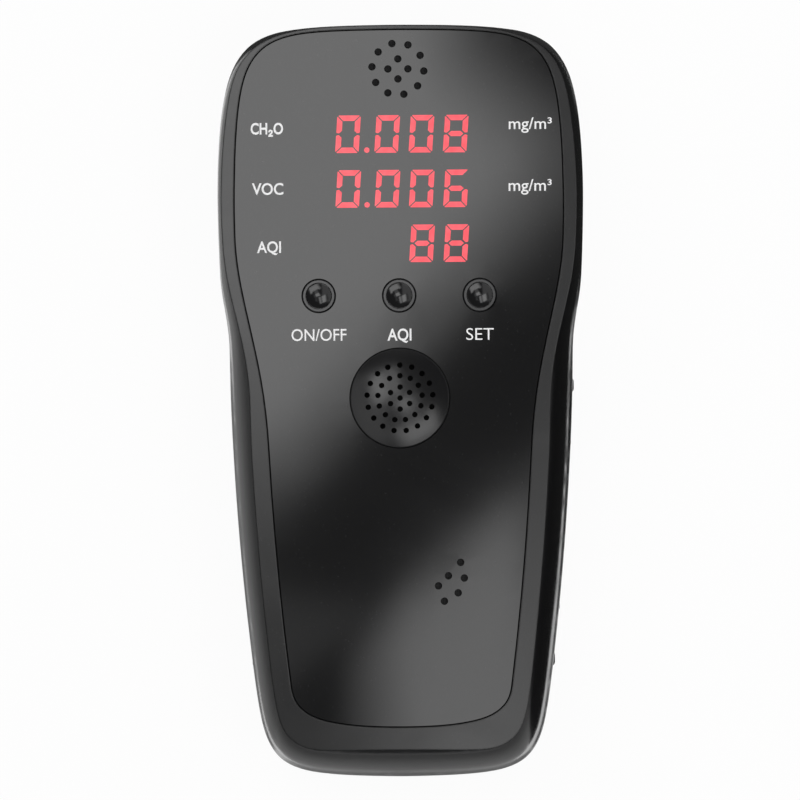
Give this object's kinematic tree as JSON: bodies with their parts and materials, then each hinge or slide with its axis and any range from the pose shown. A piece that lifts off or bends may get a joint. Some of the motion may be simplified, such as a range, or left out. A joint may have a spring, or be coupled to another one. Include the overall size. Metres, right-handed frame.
{
  "type": "air quality monitor",
  "caption": "Handheld air quality monitor lying on its back, with a gloss front panel, digit display, push buttons, a dished sensor intake and a sliding battery cover.",
  "frame": {"origin": "centre of the back face, on the surface that the monitor lies on", "axes": "+Y along the body towards the display end, +Z out of the front face, +X to the right seen from the front"},
  "size_m": [0.0736, 0.151, 0.0341],
  "materials": {
    "dark_housing": "satin moulded",
    "gloss_panel": "smoked gloss",
    "gloss_black": "gloss moulded",
    "trim_gloss": "gloss moulded",
    "cover_plastic": "fine texture",
    "display_body": "matte moulded",
    "display_light": "diffusing resin",
    "circuit_board": "solder mask",
    "chip_black": "moulded resin",
    "switch_black": "moulded",
    "switch_white": "moulded",
    "sensor_can": "plain",
    "foam": "foam",
    "mesh": "woven mesh",
    "cell_sleeve": "satin sleeve",
    "nickel": "nickel plated",
    "screw_steel": "zinc plated"
  },
  "bodies": {
    "housing": {"battery_left": "cell_sleeve", "battery_middle": "cell_sleeve", "battery_right": "cell_sleeve", "board_components": "chip_black", "board_screws": "screw_steel", "button_ring_left": "trim_gloss", "button_ring_middle": "trim_gloss", "button_ring_right": "trim_gloss", "buzzer": "chip_black", "case_screws": "screw_steel", "contact_plates": "nickel", "contact_springs": "nickel", "display_module_lower": "display_body", "display_module_middle": "display_body", "display_module_upper": "display_body", "display_segments_lower": "display_light", "display_segments_middle": "display_light", "display_segments_upper": "display_light", "formaldehyde_sensor": "sensor_can", "front_housing": "dark_housing", "front_panel": "gloss_panel", "intake_dish": "gloss_black", "main_board": "circuit_board", "microcontroller": "chip_black", "pin_header": "chip_black", "rear_housing": "dark_housing", "sensor_board": "circuit_board", "sensor_gasket": "foam", "switch_body_left": "switch_black", "switch_body_middle": "switch_black", "switch_body_right": "switch_black", "vent_mesh_lower": "mesh", "vent_mesh_top": "mesh", "voc_sensor": "sensor_can"},
    "button_left": {"button_cap_left": "gloss_black", "switch_plunger_left": "switch_white"},
    "button_middle": {"button_cap_middle": "gloss_black", "switch_plunger_middle": "switch_white"},
    "button_right": {"button_cap_right": "gloss_black", "switch_plunger_right": "switch_white"},
    "cover": {"battery_cover": "cover_plastic"}
  },
  "joints": [
    {"name": "press_left", "type": "slide", "parent": "housing", "child": "button_left", "axis": [0, 0, -1], "range_m": [0, 0.0005], "stiffness_N_per_m": 3000},
    {"name": "press_middle", "type": "slide", "parent": "housing", "child": "button_middle", "axis": [0, 0, -1], "range_m": [0, 0.0005], "stiffness_N_per_m": 3000},
    {"name": "press_right", "type": "slide", "parent": "housing", "child": "button_right", "axis": [0, 0, -1], "range_m": [0, 0.0005], "stiffness_N_per_m": 3000},
    {"name": "cover_slide", "type": "slide", "parent": "housing", "child": "cover", "axis": [0, -1, 0], "range_m": [0, 0.008]}
  ]
}
